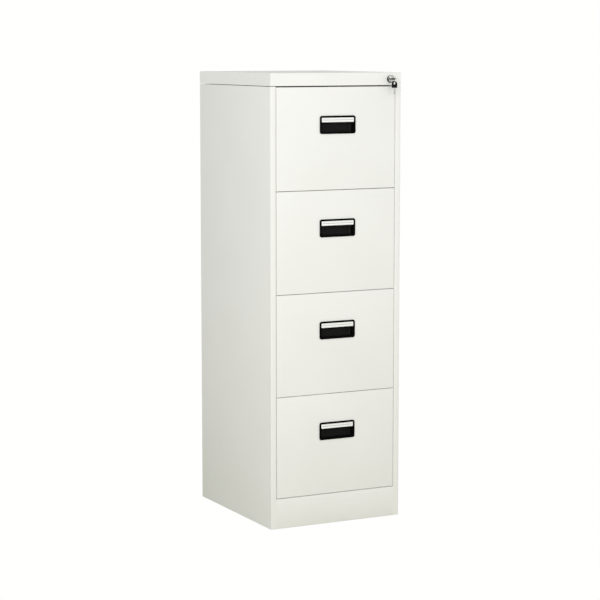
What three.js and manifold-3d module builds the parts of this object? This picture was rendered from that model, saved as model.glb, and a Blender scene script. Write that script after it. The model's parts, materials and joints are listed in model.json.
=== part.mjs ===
// A four-drawer filing cabinet in folded and welded sheet steel, with a key lock over the top drawer.
// Millimetres. +X is to the right, the drawers face -Y, +Z is up. The origin is on the floor under the
// middle of the body.

import * as THREE from "three";
import { mergeVertices } from "three/addons/utils/BufferGeometryUtils.js";
import Module from "manifold-3d";

const wasm = await Module();
wasm.setup();

// ---- Driving dimensions ----

// Body
const WIDTH = 428;
const DEPTH = 492;
const HEIGHT = 1330;
const FRONT = -DEPTH / 2;
const BACK = DEPTH / 2;
const SIDE = WIDTH / 2;

// Sheet
const SHEET = 0.8;
const HALF_SHEET = SHEET / 2;
const BEND_RADIUS = 1.4;
const BEND_STEPS = 3;
const TOUCH_GAP = 0.3;

// Frame around the drawers
const STILE_WIDTH = 17.8;
const STILE_RETURN = 15;
const OPENING = SIDE - STILE_WIDTH;
const PLINTH_TOP = 88.7;
const PLINTH_RETURN = 20;
const LID_BOTTOM = 1292.95;
const LID_RETURN = 12;
const PANEL_TOP = 1291.2;
const LOCK_BAR_NOTCH = 32;

// Drawers, numbered from the top
const DRAWER_COUNT = 4;
const DRAWER_PITCH = 300.3;
const LOWEST_ZONE = 89.7;
const FRONT_HALF_WIDTH = 194.7;
const FRONT_MARGIN = 0.75;
const TOP_FRONT_MARGIN = 1.6;
const FRONT_DEPTH = 20;
const FRONT_RETURN = 24;
const TRAY_HALF_WIDTH = 183.2;
const TRAY_BOTTOM = 16;
const TRAY_SIDE_TOP = 262;
const TRAY_BACK_TOP = 200;
const TRAY_WALL_TOP = 286;
const TRAY_START = FRONT + FRONT_DEPTH + TOUCH_GAP;
const TRAY_END = FRONT + 460;
const FILE_RAIL = 11;

// Ball-bearing slides: three nested channels on each side of each drawer
const SLIDE_START = FRONT + 24;
const SLIDE_END = FRONT + 464;
const SLIDE_HEIGHT_ABOVE_ZONE = 75;
const SLIDE_BEND = 1.6;
const SLIDE_OUTER = { web: 195.6, lip: 186.2, halfHeight: 22.2, sheet: 1.2 };
const SLIDE_MID = { web: 190.9, lip: 186.2, halfHeight: 18.8, sheet: 1 };
const SLIDE_INNER = { web: 184.2, lip: 188.6, halfHeight: 15.1, sheet: 1 };

// Handle with its label strip
const HANDLE_BELOW_SEAM = 110.9;
const HANDLE_SIDE_OFFSET = 3;
const HANDLE_WIDTH = 117;
const HANDLE_HEIGHT = 52.5;
const HANDLE_CORNER = 6.5;
const HANDLE_PROUD = 2.8;
const HANDLE_RIM = 5;
const POCKET_BACK = 18;
const POCKET_WALL = 1.5;
const RECESS_HEIGHT = 26;
const LABEL_HEIGHT = 14.3;
const LABEL_SEAT = 1.7;
const LABEL_THICKNESS = 0.5;
const PANEL_CUTOUT_MARGIN = 4;

// Lock in the lid's front skirt
const LOCK_X = 178;
const LOCK_Z = 1311;
const LOCK_FACE_RADIUS = 11.5;
const LOCK_BARREL_RADIUS = 9;
const LOCK_PROUD = 5;
const LOCK_DEPTH = 20;
const PLUG_RADIUS = 6;
const CAM_RADIUS = 10;
const CAM_PIN_RADIUS = 1.5;
const CAM_SHEET = 2;
const LIFT = 10;

// Lock bar and the catches on the drawers
const BAR_FRONT = FRONT + 24;
const BAR_SHEET = 2;
const BAR_INNER = 199;
const BAR_OUTER = 211;
const BAR_FOOT = 110;
const HOOK_INNER = 187;
const HOOK_BOTTOM = 128;
const HOOK_TOP = 138.5;
const CATCH_FRONT = FRONT + 27;
const CATCH_OUTER = 194;
const CATCH_BOTTOM = 140;
const CATCH_TOP = 150;

// Keys on their ring
const BOW_WIDTH = 17.2;
const BOW_LENGTH = 19.4;
const BOW_THICKNESS = 3.8;
const BOW_EDGE = 0.8;
const BOW_HOLE_RADIUS = 3.8;
const BOW_HOLE_FROM_TOP = 6.2;
const BLADE_WIDTH = 7;
const BLADE_THICKNESS = 1.8;
const BLADE_LENGTH = 19;
const TANG_LENGTH = 6;
const KEY_STANDOFF = 6.5;
const RING_RADIUS = 6.4;
const RING_WIRE = 0.6;
const RING_DROP = 3.45;
const HANGING_CLEARANCE = 0.5;

// ---- Materials ----

const paintedSteel = new THREE.MeshStandardMaterial({ color: 0xf0eee8, roughness: 0.45, metalness: 0 });
const zincSteel = new THREE.MeshStandardMaterial({ color: 0xb9bcbf, roughness: 0.35, metalness: 0.9 });
const blackPlastic = new THREE.MeshStandardMaterial({ color: 0x161616, roughness: 0.4, metalness: 0 });
const nickel = new THREE.MeshStandardMaterial({ color: 0xc9c9c6, roughness: 0.2, metalness: 1 });
const card = new THREE.MeshStandardMaterial({ color: 0xf6f5f0, roughness: 0.8, metalness: 0 });

// ---- Solids: joining and cutting ----

function toSolid(geometry) {
  geometry.deleteAttribute("normal");
  geometry.deleteAttribute("uv");
  const merged = mergeVertices(geometry, 1e-4);
  const mesh = new wasm.Mesh({
    numProp: 3,
    vertProperties: new Float32Array(merged.attributes.position.array),
    triVerts: new Uint32Array(merged.index.array),
  });
  return new wasm.Manifold(mesh);
}

function toGeometry(solid) {
  const mesh = solid.getMesh();
  const geometry = new THREE.BufferGeometry();
  geometry.setAttribute("position", new THREE.BufferAttribute(mesh.vertProperties, 3));
  geometry.setIndex(new THREE.BufferAttribute(mesh.triVerts, 1));
  geometry.computeVertexNormals();
  return geometry;
}

function join(...geometries) {
  const solids = geometries.map(toSolid);
  return toGeometry(solids.reduce((whole, solid) => whole.add(solid)));
}

function cut(geometry, ...tools) {
  const solids = tools.map(toSolid);
  return toGeometry(solids.reduce((whole, solid) => whole.subtract(solid), toSolid(geometry)));
}

function common(first, second) {
  return toGeometry(toSolid(first).intersect(toSolid(second)));
}

// ---- Basic shapes ----

function block([x0, x1], [y0, y1], [z0, z1]) {
  const geometry = new THREE.BoxGeometry(x1 - x0, y1 - y0, z1 - z0);
  geometry.translate((x0 + x1) / 2, (y0 + y1) / 2, (z0 + z1) / 2);
  return geometry;
}

function extrude(shape, length, options = {}) {
  return new THREE.ExtrudeGeometry(shape, { depth: length, bevelEnabled: false, curveSegments: 2, ...options });
}

// A shape drawn in (Y, Z), carried along X.
function alongX(shape, from, to, options) {
  const geometry = extrude(shape, to - from, options);
  const turn = new THREE.Matrix4().makeBasis(
    new THREE.Vector3(0, 1, 0),
    new THREE.Vector3(0, 0, 1),
    new THREE.Vector3(1, 0, 0),
  );
  geometry.applyMatrix4(turn);
  geometry.translate(from, 0, 0);
  return geometry;
}

// A shape drawn in (X, Z), carried along Y.
function alongY(shape, from, to, options) {
  const geometry = extrude(shape, to - from, options);
  geometry.rotateX(Math.PI / 2);
  geometry.translate(0, to, 0);
  return geometry;
}

// A shape drawn in (X, Y), carried along Z.
function alongZ(shape, from, to, options) {
  const geometry = extrude(shape, to - from, options);
  geometry.translate(0, 0, from);
  return geometry;
}

function roundedRectangle(width, height, radius) {
  const right = width / 2;
  const top = height / 2;
  const shape = new THREE.Shape();
  shape.moveTo(-right + radius, -top);
  shape.lineTo(right - radius, -top);
  shape.absarc(right - radius, -top + radius, radius, -Math.PI / 2, 0);
  shape.lineTo(right, top - radius);
  shape.absarc(right - radius, top - radius, radius, 0, Math.PI / 2);
  shape.lineTo(-right + radius, top);
  shape.absarc(-right + radius, top - radius, radius, Math.PI / 2, Math.PI);
  shape.lineTo(-right, -top + radius);
  shape.absarc(-right + radius, -top + radius, radius, Math.PI, Math.PI * 1.5);
  return shape;
}

function leftOf(direction) {
  return new THREE.Vector2(-direction.y, direction.x);
}

// The section of a sheet bent along the given corners, which lie at the middle of its thickness.
function bentStrip(corners, sheet = SHEET, bendRadius = BEND_RADIUS) {
  const points = corners.map(([u, v]) => new THREE.Vector2(u, v));
  const leftFace = [];
  const rightFace = [];
  const heading = (i) => points[i + 1].clone().sub(points[i]).normalize();
  const addStation = (point, direction) => {
    const offset = leftOf(direction).multiplyScalar(sheet / 2);
    leftFace.push(point.clone().add(offset));
    rightFace.push(point.clone().sub(offset));
  };

  addStation(points[0], heading(0));
  for (let i = 1; i < points.length - 1; i += 1) {
    const before = heading(i - 1);
    const after = heading(i);
    const turn = Math.atan2(before.cross(after), before.dot(after));
    const setback = bendRadius * Math.tan(Math.abs(turn) / 2);
    const inward = Math.sign(turn) * bendRadius;
    const bendStart = points[i].clone().addScaledVector(before, -setback);
    const centre = bendStart.addScaledVector(leftOf(before), inward);
    for (let step = 0; step <= BEND_STEPS; step += 1) {
      const direction = before.clone().rotateAround(new THREE.Vector2(), (turn * step) / BEND_STEPS);
      addStation(centre.clone().addScaledVector(leftOf(direction), -inward), direction);
    }
  }
  addStation(points[points.length - 1], heading(points.length - 2));
  return new THREE.Shape([...leftFace, ...rightFace.reverse()]);
}

// A block whose +Z face has rounded edges all round. The face lies at z = 0.
function roundedFaceBlock(width, height, depth, radius) {
  const section = (span) => {
    const half = span / 2;
    const shape = new THREE.Shape();
    shape.moveTo(-half, -depth);
    shape.lineTo(half, -depth);
    shape.lineTo(half, -radius);
    shape.absarc(half - radius, -radius, radius, 0, Math.PI / 2);
    shape.lineTo(-half + radius, 0);
    shape.absarc(-half + radius, -radius, radius, Math.PI / 2, Math.PI);
    return shape;
  };
  const acrossHeight = alongY(section(width), -height / 2, height / 2);
  const acrossWidth = alongX(section(height), -width / 2, width / 2);
  return common(acrossHeight, acrossWidth);
}

// A shallow pan of folded sheet: a face at z = 0, four skirts down from it and a return along each skirt.
function foldedPan(width, height, depth, returnWidth) {
  const outer = roundedFaceBlock(width, height, depth, BEND_RADIUS + HALF_SHEET);
  const inner = roundedFaceBlock(
    width - 2 * SHEET,
    height - 2 * SHEET,
    depth - 2 * SHEET,
    BEND_RADIUS - HALF_SHEET,
  );
  inner.translate(0, 0, -SHEET);
  const halfWidth = width / 2 - returnWidth;
  const halfHeight = height / 2 - returnWidth;
  const mouth = block([-halfWidth, halfWidth], [-halfHeight, halfHeight], [-2 * depth, -depth / 2]);
  return cut(outer, inner, mouth);
}

// ---- Positions that follow from the driving dimensions ----

const rearFlangeBack = BACK - SHEET - TOUCH_GAP;
const sideInner = SIDE - SHEET;
const topFlange = PANEL_TOP - SHEET;
const uprightFace = OPENING + TOUCH_GAP;

function zoneBottom(number) {
  return LOWEST_ZONE + (DRAWER_COUNT - number) * DRAWER_PITCH;
}

function frontTop(number) {
  return zoneBottom(number) + DRAWER_PITCH - (number === 1 ? TOP_FRONT_MARGIN : FRONT_MARGIN);
}

function handleHeight(number) {
  return zoneBottom(number) + DRAWER_PITCH - HANDLE_BELOW_SEAM;
}

// ---- Carcass ----

function sidePanel(side) {
  const flangeEnd = 190;
  const plan = bentStrip([
    [side * (OPENING + HALF_SHEET), FRONT + STILE_RETURN],
    [side * (OPENING + HALF_SHEET), FRONT + HALF_SHEET],
    [side * (SIDE - HALF_SHEET), FRONT + HALF_SHEET],
    [side * (SIDE - HALF_SHEET), rearFlangeBack - HALF_SHEET],
    [side * flangeEnd, rearFlangeBack - HALF_SHEET],
  ]);
  const flangeEdges = [side * (flangeEnd + 2), side * (SIDE - HALF_SHEET)].sort((a, b) => a - b);
  const top = block(
    flangeEdges,
    [FRONT + LOCK_BAR_NOTCH, rearFlangeBack - HALF_SHEET],
    [topFlange, PANEL_TOP],
  );
  return join(alongZ(plan, 0, PANEL_TOP), top);
}

function backPanel() {
  const edge = SIDE - TOUCH_GAP;
  return block([-edge, edge], [BACK - SHEET, BACK], [0, PANEL_TOP]);
}

function topCover() {
  const depth = HEIGHT - LID_BOTTOM;
  const pan = foldedPan(WIDTH, DEPTH, depth, LID_RETURN);
  pan.translate(0, 0, HEIGHT);
  const notches = [-1, 1].map((side) => {
    const edges = [side * 190, side * (sideInner - 0.2)].sort((a, b) => a - b);
    return block(edges, [FRONT + LID_RETURN, FRONT + LOCK_BAR_NOTCH], [LID_BOTTOM - 1, LID_BOTTOM + 2 * SHEET]);
  });
  const lockHole = new THREE.CylinderGeometry(
    LOCK_BARREL_RADIUS + TOUCH_GAP,
    LOCK_BARREL_RADIUS + TOUCH_GAP,
    10,
    24,
  );
  lockHole.translate(LOCK_X, FRONT, LOCK_Z);
  return cut(pan, ...notches, lockHole);
}

function basePlinth() {
  const pan = 25;
  const rear = rearFlangeBack - SHEET - 2 * TOUCH_GAP;
  const betweenStiles = OPENING - TOUCH_GAP;
  const frontToBack = bentStrip([
    [FRONT + PLINTH_RETURN, PLINTH_TOP - 10],
    [FRONT + PLINTH_RETURN, PLINTH_TOP - HALF_SHEET],
    [FRONT + HALF_SHEET, PLINTH_TOP - HALF_SHEET],
    [FRONT + HALF_SHEET, HALF_SHEET],
    [rear - HALF_SHEET, HALF_SHEET],
    [rear - HALF_SHEET, pan],
  ]);
  const flange = sideInner - TOUCH_GAP - HALF_SHEET;
  const sideToSide = bentStrip([
    [-flange, pan],
    [-flange, HALF_SHEET],
    [flange, HALF_SHEET],
    [flange, pan],
  ]);
  return join(
    alongX(frontToBack, -betweenStiles, betweenStiles),
    alongY(sideToSide, FRONT + STILE_RETURN + TOUCH_GAP, rear),
  );
}

function crossRail(seamHeight) {
  const halfHeight = 11.6;
  const front = FRONT + 30;
  const back = FRONT + 62;
  const section = bentStrip([
    [back, seamHeight + halfHeight],
    [front, seamHeight + halfHeight],
    [front, seamHeight - halfHeight],
    [back, seamHeight - halfHeight],
  ]);
  return alongX(section, -OPENING, OPENING);
}

// A hat-shaped post that the slides are fixed to.
function slideUpright(side, from) {
  const width = 30;
  const flange = 8;
  const outer = side * (sideInner - TOUCH_GAP - HALF_SHEET);
  const face = side * (uprightFace + HALF_SHEET);
  const section = bentStrip([
    [outer, from - flange],
    [outer, from],
    [face, from],
    [face, from + width],
    [outer, from + width],
    [outer, from + width + flange],
  ]);
  return alongZ(section, 25.4, topFlange - TOUCH_GAP);
}

function slideMember(member, side, number) {
  const middle = zoneBottom(number) + SLIDE_HEIGHT_ABOVE_ZONE;
  const section = bentStrip(
    [
      [side * member.lip, middle + member.halfHeight],
      [side * member.web, middle + member.halfHeight],
      [side * member.web, middle - member.halfHeight],
      [side * member.lip, middle - member.halfHeight],
    ],
    member.sheet,
    SLIDE_BEND,
  );
  return alongY(section, SLIDE_START, SLIDE_END);
}

// ---- Drawer ----

function drawerFront(number) {
  const bottom = zoneBottom(number) + FRONT_MARGIN;
  const top = frontTop(number);
  const pan = foldedPan(2 * FRONT_HALF_WIDTH, top - bottom, FRONT_DEPTH, FRONT_RETURN);
  pan.rotateX(Math.PI / 2);
  pan.translate(0, FRONT, (bottom + top) / 2);
  const opening = roundedRectangle(
    HANDLE_WIDTH - 2 * PANEL_CUTOUT_MARGIN,
    HANDLE_HEIGHT - 2 * PANEL_CUTOUT_MARGIN,
    HANDLE_CORNER - PANEL_CUTOUT_MARGIN / 2,
  );
  const hole = alongY(opening, FRONT - 5, FRONT + 5);
  hole.translate(HANDLE_SIDE_OFFSET, 0, handleHeight(number));
  return cut(pan, hole);
}

function drawerTray(number) {
  const zone = zoneBottom(number);
  const wall = TRAY_HALF_WIDTH - HALF_SHEET;
  const bottom = zone + TRAY_BOTTOM + HALF_SHEET;
  const sideTop = zone + TRAY_SIDE_TOP;
  const trough = bentStrip([
    [-wall + FILE_RAIL, sideTop + FILE_RAIL],
    [-wall + FILE_RAIL, sideTop],
    [-wall, sideTop],
    [-wall, bottom],
    [wall, bottom],
    [wall, sideTop],
    [wall - FILE_RAIL, sideTop],
    [wall - FILE_RAIL, sideTop + FILE_RAIL],
  ]);
  const across = [-TRAY_HALF_WIDTH, TRAY_HALF_WIDTH];
  const frontWall = block(across, [TRAY_START, TRAY_START + SHEET], [zone + TRAY_BOTTOM, zone + TRAY_WALL_TOP]);
  const backWall = block(across, [TRAY_END - SHEET, TRAY_END], [zone + TRAY_BOTTOM, zone + TRAY_BACK_TOP]);
  const lockCatch = block(
    [wall, CATCH_OUTER],
    [CATCH_FRONT, CATCH_FRONT + BAR_SHEET],
    [zone + CATCH_BOTTOM, zone + CATCH_TOP],
  );
  return join(alongY(trough, TRAY_START, TRAY_END), frontWall, backWall, lockCatch);
}

const labelMiddle = HANDLE_HEIGHT / 2 - HANDLE_RIM - LABEL_HEIGHT / 2;
const recessMiddle = -HANDLE_HEIGHT / 2 + HANDLE_RIM + RECESS_HEIGHT / 2;
const handleInnerWidth = HANDLE_WIDTH - 2 * HANDLE_RIM;

function drawerHandle(number) {
  const bezelEdge = 0.9;
  const bezel = alongY(
    roundedRectangle(HANDLE_WIDTH, HANDLE_HEIGHT, HANDLE_CORNER),
    FRONT - HANDLE_PROUD + bezelEdge,
    FRONT - TOUCH_GAP - bezelEdge,
    {
      bevelEnabled: true,
      bevelThickness: bezelEdge,
      bevelSize: bezelEdge,
      bevelOffset: -bezelEdge,
      bevelSegments: 1,
    },
  );
  const pocketWidth = HANDLE_WIDTH - 2 * PANEL_CUTOUT_MARGIN - 2 * TOUCH_GAP;
  const pocketHeight = HANDLE_HEIGHT - 2 * PANEL_CUTOUT_MARGIN - 2 * TOUCH_GAP;
  const shell = alongY(
    roundedRectangle(pocketWidth, pocketHeight, HANDLE_CORNER - PANEL_CUTOUT_MARGIN / 2),
    FRONT - 1,
    FRONT + POCKET_BACK,
  );

  const mouth = alongY(
    roundedRectangle(handleInnerWidth, RECESS_HEIGHT, 4),
    FRONT - 2 * HANDLE_PROUD,
    FRONT + POCKET_BACK / 2,
  );
  mouth.translate(0, 0, recessMiddle);

  const hollowDepth = POCKET_BACK - 2 * POCKET_WALL;
  const hollowPlan = roundedRectangle(pocketWidth - 2 * POCKET_WALL, 2 * hollowDepth, 6);
  const recessBottom = recessMiddle - RECESS_HEIGHT / 2;
  const hollow = alongZ(hollowPlan, recessBottom, pocketHeight / 2 - POCKET_WALL);
  hollow.translate(0, FRONT + POCKET_WALL, 0);
  const hollowLimit = block(
    [-HANDLE_WIDTH, HANDLE_WIDTH],
    [FRONT + POCKET_WALL, FRONT + POCKET_BACK - POCKET_WALL],
    [-HANDLE_HEIGHT, HANDLE_HEIGHT],
  );

  const labelSeat = alongY(
    roundedRectangle(handleInnerWidth, LABEL_HEIGHT, 1.5),
    FRONT - 2 * HANDLE_PROUD,
    FRONT - HANDLE_PROUD + LABEL_SEAT,
  );
  labelSeat.translate(0, 0, labelMiddle);

  const handle = cut(join(bezel, shell), mouth, common(hollow, hollowLimit), labelSeat);
  handle.translate(HANDLE_SIDE_OFFSET, 0, handleHeight(number));
  return handle;
}

function drawerLabel(number) {
  const back = FRONT - HANDLE_PROUD + LABEL_SEAT - TOUCH_GAP;
  const strip = alongY(
    roundedRectangle(handleInnerWidth - 2 * TOUCH_GAP, LABEL_HEIGHT - 2 * TOUCH_GAP, 1),
    back - LABEL_THICKNESS,
    back,
  );
  strip.translate(HANDLE_SIDE_OFFSET, 0, handleHeight(number) + labelMiddle);
  return strip;
}

// ---- Lock ----

// A ring-shaped solid round the lock's axis. The profile is a list of [radius, y], closed on itself.
function turnedRing(profile) {
  const points = [...profile, profile[0]].map(([radius, y]) => new THREE.Vector2(radius, y));
  const geometry = new THREE.LatheGeometry(points, 24);
  geometry.translate(LOCK_X, 0, LOCK_Z);
  return geometry;
}

function cylinderAlongY(radius, from, to, x, z, sides = 24) {
  const geometry = new THREE.CylinderGeometry(radius, radius, to - from, sides);
  geometry.translate(x, (from + to) / 2, z);
  return geometry;
}

function lockHousing() {
  const bore = PLUG_RADIUS + TOUCH_GAP;
  return turnedRing([
    [bore, FRONT - LOCK_PROUD],
    [LOCK_FACE_RADIUS - 1, FRONT - LOCK_PROUD],
    [LOCK_FACE_RADIUS, FRONT - LOCK_PROUD + 0.8],
    [LOCK_FACE_RADIUS, FRONT - TOUCH_GAP],
    [LOCK_BARREL_RADIUS, FRONT - TOUCH_GAP],
    [LOCK_BARREL_RADIUS, FRONT + LOCK_DEPTH],
    [bore, FRONT + LOCK_DEPTH],
  ]);
}

function lockPlug() {
  const camFront = FRONT + LOCK_DEPTH + 0.5;
  const camBack = camFront + CAM_SHEET - 0.5;
  const plug = cylinderAlongY(PLUG_RADIUS, FRONT - LOCK_PROUD + TOUCH_GAP, camBack, LOCK_X, LOCK_Z);
  const arm = block([LOCK_X, LOCK_X + CAM_RADIUS], [camFront, camBack], [LOCK_Z - 3.5, LOCK_Z + 3.5]);
  const tip = cylinderAlongY(3.5, camFront, camBack, LOCK_X + CAM_RADIUS, LOCK_Z);
  const pinEnd = BAR_FRONT + BAR_SHEET + 1.5;
  const pin = cylinderAlongY(CAM_PIN_RADIUS, camFront, pinEnd, LOCK_X + CAM_RADIUS, LOCK_Z, 16);
  const keyway = block(
    [LOCK_X - BLADE_WIDTH / 2 - TOUCH_GAP, LOCK_X + BLADE_WIDTH / 2 + TOUCH_GAP],
    [FRONT - LOCK_PROUD - 1, FRONT + LOCK_DEPTH - 0.5],
    [LOCK_Z - BLADE_THICKNESS / 2 - TOUCH_GAP, LOCK_Z + BLADE_THICKNESS / 2 + TOUCH_GAP],
  );
  return cut(join(plug, arm, tip, pin), keyway);
}

// A flat bar with one hook per drawer. The cam's pin lifts it through the slot at its top.
function lockBar() {
  const slotMargin = 2.5;
  const pinRoom = CAM_PIN_RADIUS + TOUCH_GAP;
  const sineLead = 0.2105 * LIFT;
  const slotTop = LOCK_Z + pinRoom + sineLead;
  const slotBottom = LOCK_Z - pinRoom;
  const slotLeft = LOCK_X - pinRoom - 0.7;
  const slotRight = LOCK_X + CAM_RADIUS + pinRoom + 0.4;
  const foot = zoneBottom(DRAWER_COUNT) + BAR_FOOT;

  const outline = new THREE.Shape();
  outline.moveTo(BAR_OUTER, foot);
  outline.lineTo(BAR_OUTER, slotTop + slotMargin);
  outline.lineTo(slotLeft - slotMargin, slotTop + slotMargin);
  outline.lineTo(slotLeft - slotMargin, slotBottom - slotMargin);
  outline.lineTo(BAR_INNER, slotBottom - slotMargin);
  for (let number = 1; number <= DRAWER_COUNT; number += 1) {
    const zone = zoneBottom(number);
    outline.lineTo(BAR_INNER, zone + HOOK_TOP);
    outline.lineTo(HOOK_INNER, zone + HOOK_TOP);
    outline.lineTo(HOOK_INNER, zone + HOOK_BOTTOM);
    outline.lineTo(BAR_INNER, zone + HOOK_BOTTOM);
  }
  outline.lineTo(BAR_INNER, foot);

  const slot = new THREE.Path();
  slot.moveTo(slotLeft, slotBottom);
  slot.lineTo(slotRight, slotBottom);
  slot.lineTo(slotRight, slotTop);
  slot.lineTo(slotLeft, slotTop);
  slot.lineTo(slotLeft, slotBottom);
  outline.holes.push(slot);
  return alongY(outline, BAR_FRONT, BAR_FRONT + BAR_SHEET);
}

// ---- Keys ----

// A key drawn hanging: the bow's foot is at the origin, the bow above it and the blade below.
function keyBow() {
  const half = BOW_WIDTH / 2;
  const outline = new THREE.Shape();
  outline.absarc(half - 2, 2, 2, -Math.PI / 2, 0);
  outline.absarc(0, BOW_LENGTH - half, half, 0, Math.PI);
  outline.absarc(-half + 2, 2, 2, Math.PI, Math.PI * 1.5);
  const hole = new THREE.Path();
  hole.absarc(0, BOW_LENGTH - BOW_HOLE_FROM_TOP, BOW_HOLE_RADIUS, 0, Math.PI * 2, true);
  outline.holes.push(hole);
  const halfCore = BOW_THICKNESS / 2 - BOW_EDGE;
  const body = alongY(outline, -halfCore, halfCore, {
    curveSegments: 6,
    bevelEnabled: true,
    bevelThickness: BOW_EDGE,
    bevelSize: BOW_EDGE,
    bevelOffset: -BOW_EDGE,
    bevelSegments: 1,
  });
  const halfPocket = BLADE_THICKNESS / 2 + TOUCH_GAP;
  const pocket = block(
    [-BLADE_WIDTH / 2 - TOUCH_GAP, BLADE_WIDTH / 2 + TOUCH_GAP],
    [-halfPocket, halfPocket],
    [-1, TANG_LENGTH],
  );
  return cut(body, pocket);
}

function keyBlade() {
  const half = BLADE_WIDTH / 2;
  const outline = new THREE.Shape();
  outline.moveTo(-half, TANG_LENGTH - TOUCH_GAP);
  outline.lineTo(-half, -BLADE_LENGTH + 2.5);
  outline.lineTo(-half + 2.5, -BLADE_LENGTH);
  outline.lineTo(half - 3, -BLADE_LENGTH);
  const cuts = [1.6, 0.6, 2.1, 1.1];
  const pitch = 3.4;
  cuts.forEach((cutDepth, i) => {
    const start = -BLADE_LENGTH + 2 + i * pitch;
    outline.lineTo(half - 0.4, start);
    outline.lineTo(half - cutDepth, start + pitch * 0.35);
    outline.lineTo(half - cutDepth, start + pitch * 0.6);
  });
  outline.lineTo(half, -BLADE_LENGTH + 2 + cuts.length * pitch);
  outline.lineTo(half, TANG_LENGTH - TOUCH_GAP);
  return alongY(outline, -BLADE_THICKNESS / 2, BLADE_THICKNESS / 2);
}

const keyOneHoleY = FRONT - KEY_STANDOFF - BOW_LENGTH + BOW_HOLE_FROM_TOP;
const rimMiddle = (BOW_HOLE_RADIUS + BOW_HOLE_FROM_TOP) / 2;
const ringY = keyOneHoleY - rimMiddle;
const ringZ = LOCK_Z - RING_DROP;
const spareHoleTop = ringZ - (RING_RADIUS - RING_WIRE) + HANGING_CLEARANCE;
const spareFootZ = spareHoleTop + BOW_HOLE_FROM_TOP - BOW_HOLE_RADIUS - BOW_LENGTH;

// The key in the lock lies flat and points into the plug.
function placeKeyInLock(geometry) {
  geometry.rotateX(Math.PI / 2);
  geometry.translate(LOCK_X, FRONT - KEY_STANDOFF, LOCK_Z);
  return geometry;
}

// The spare key hangs in front of the top drawer, which pushes it aside. Its solid is the part of its bow
// that stands clear above that drawer.
function spareKeyBow() {
  const bow = keyBow();
  bow.translate(LOCK_X, ringY, spareFootZ);
  const clearOfDrawer = block(
    [LOCK_X - BOW_WIDTH, LOCK_X + BOW_WIDTH],
    [ringY - BOW_THICKNESS, ringY + BOW_THICKNESS],
    [frontTop(1) + TOUCH_GAP, HEIGHT],
  );
  return common(bow, clearOfDrawer);
}

function keyRing() {
  const geometry = new THREE.TorusGeometry(RING_RADIUS, RING_WIRE, 6, 24);
  geometry.rotateY(Math.PI / 2);
  geometry.translate(LOCK_X, ringY, ringZ);
  return geometry;
}

// ---- Assembly ----

const cabinet = new THREE.Group();

function addPart(name, geometry, material) {
  const mesh = new THREE.Mesh(geometry, material);
  mesh.name = name;
  cabinet.add(mesh);
}

const SIDES = [["left", -1], ["right", 1]];

for (const [sideName, side] of SIDES) {
  addPart(`side_panel_${sideName}`, sidePanel(side), paintedSteel);
  addPart(`slide_upright_front_${sideName}`, slideUpright(side, FRONT + 50), zincSteel);
  addPart(`slide_upright_rear_${sideName}`, slideUpright(side, FRONT + 400), zincSteel);
}
addPart("back_panel", backPanel(), paintedSteel);
addPart("top_cover", topCover(), paintedSteel);
addPart("base_plinth", basePlinth(), paintedSteel);
for (let number = 1; number < DRAWER_COUNT; number += 1) {
  addPart(`cross_rail_${number}`, crossRail(zoneBottom(number)), zincSteel);
}

for (let number = 1; number <= DRAWER_COUNT; number += 1) {
  addPart(`drawer_${number}_front`, drawerFront(number), paintedSteel);
  addPart(`drawer_${number}_tray`, drawerTray(number), paintedSteel);
  addPart(`drawer_${number}_handle`, drawerHandle(number), blackPlastic);
  addPart(`drawer_${number}_label`, drawerLabel(number), card);
  for (const [sideName, side] of SIDES) {
    addPart(`drawer_${number}_slide_outer_${sideName}`, slideMember(SLIDE_OUTER, side, number), zincSteel);
    addPart(`drawer_${number}_slide_mid_${sideName}`, slideMember(SLIDE_MID, side, number), zincSteel);
    addPart(`drawer_${number}_slide_inner_${sideName}`, slideMember(SLIDE_INNER, side, number), zincSteel);
  }
}

addPart("lock_housing", lockHousing(), nickel);
addPart("lock_plug", lockPlug(), nickel);
addPart("lock_bar", lockBar(), zincSteel);
addPart("key_1_bow", placeKeyInLock(keyBow()), blackPlastic);
addPart("key_1_blade", placeKeyInLock(keyBlade()), nickel);
addPart("key_2_bow", spareKeyBow(), blackPlastic);
addPart("key_ring", keyRing(), nickel);

export default cabinet;
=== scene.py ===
"""The looks of a four-drawer steel filing cabinet, built round its CAD frame.

Metres. +X is to the right, the drawers face -Y, +Z is up. MM turns millimetres into metres.
"""

import json
import math

import bmesh
import bpy
from mathutils import Matrix, Vector


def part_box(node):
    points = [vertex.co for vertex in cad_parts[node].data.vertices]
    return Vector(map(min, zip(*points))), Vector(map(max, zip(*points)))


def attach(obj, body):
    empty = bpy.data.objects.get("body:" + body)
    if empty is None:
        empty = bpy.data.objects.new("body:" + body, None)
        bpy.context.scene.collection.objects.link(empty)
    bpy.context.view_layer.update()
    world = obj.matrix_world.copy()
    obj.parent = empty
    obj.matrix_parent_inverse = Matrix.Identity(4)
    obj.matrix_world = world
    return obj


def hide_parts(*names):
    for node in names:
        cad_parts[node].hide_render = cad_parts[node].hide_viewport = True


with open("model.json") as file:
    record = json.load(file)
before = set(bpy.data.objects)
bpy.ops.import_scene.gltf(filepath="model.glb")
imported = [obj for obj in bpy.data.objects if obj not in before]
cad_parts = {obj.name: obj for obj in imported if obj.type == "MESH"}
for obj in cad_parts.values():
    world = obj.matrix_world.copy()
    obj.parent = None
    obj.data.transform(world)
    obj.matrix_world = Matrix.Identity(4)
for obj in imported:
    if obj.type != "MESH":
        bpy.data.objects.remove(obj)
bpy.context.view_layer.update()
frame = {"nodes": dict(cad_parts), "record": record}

MM = 0.001
SHEET = 0.8 * MM
DRAWERS = (1, 2, 3, 4)
SIDES = {"left": -1, "right": 1}

# Camera
CAMERA_PLACE = (-2.698, -5.323, 1.4044)
CAMERA_TURN = 26.927
CAMERA_TILT = 7.311
CAMERA_LENS = 118.44

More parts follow.
